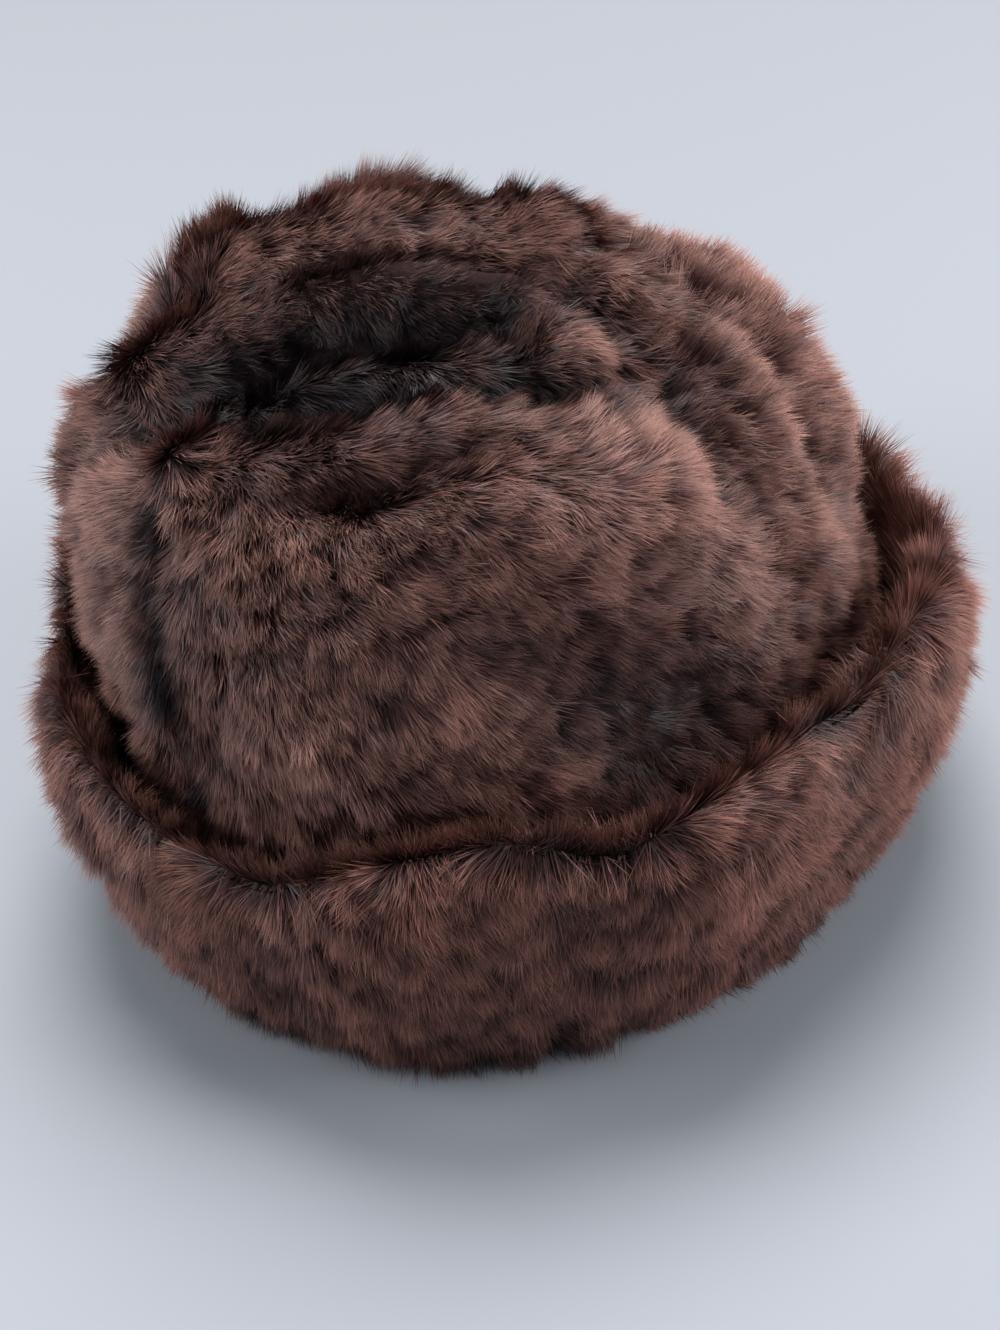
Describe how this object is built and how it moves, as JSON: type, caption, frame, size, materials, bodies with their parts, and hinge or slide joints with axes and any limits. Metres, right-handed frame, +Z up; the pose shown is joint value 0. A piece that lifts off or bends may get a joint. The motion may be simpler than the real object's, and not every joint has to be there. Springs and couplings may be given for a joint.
{
  "type": "deep-pile fur hat with turned-up cuff",
  "caption": "Soft round fur hat with a folded, sunken top panel and a wide turned-up cuff, open below for the head.",
  "frame": {"origin": "middle of the hat's base, on the surface that the cuff's fold stands on", "axes": "+Z up through the crown, -Y towards the wearer's face, +X towards the wearer's left hand"},
  "size_m": [0.2806, 0.2949, 0.1982],
  "materials": {
    "fur_crown": "deep dark brown fur pile with a soft sheen, lighter at the tips",
    "fur_cuff": "deep dark brown fur pile with a soft sheen, a little redder and darker low on the cuff"
  },
  "bodies": {
    "root": {"crown_top": "fur_crown", "crown_side": "fur_crown", "cuff": "fur_cuff"}
  },
  "joints": []
}
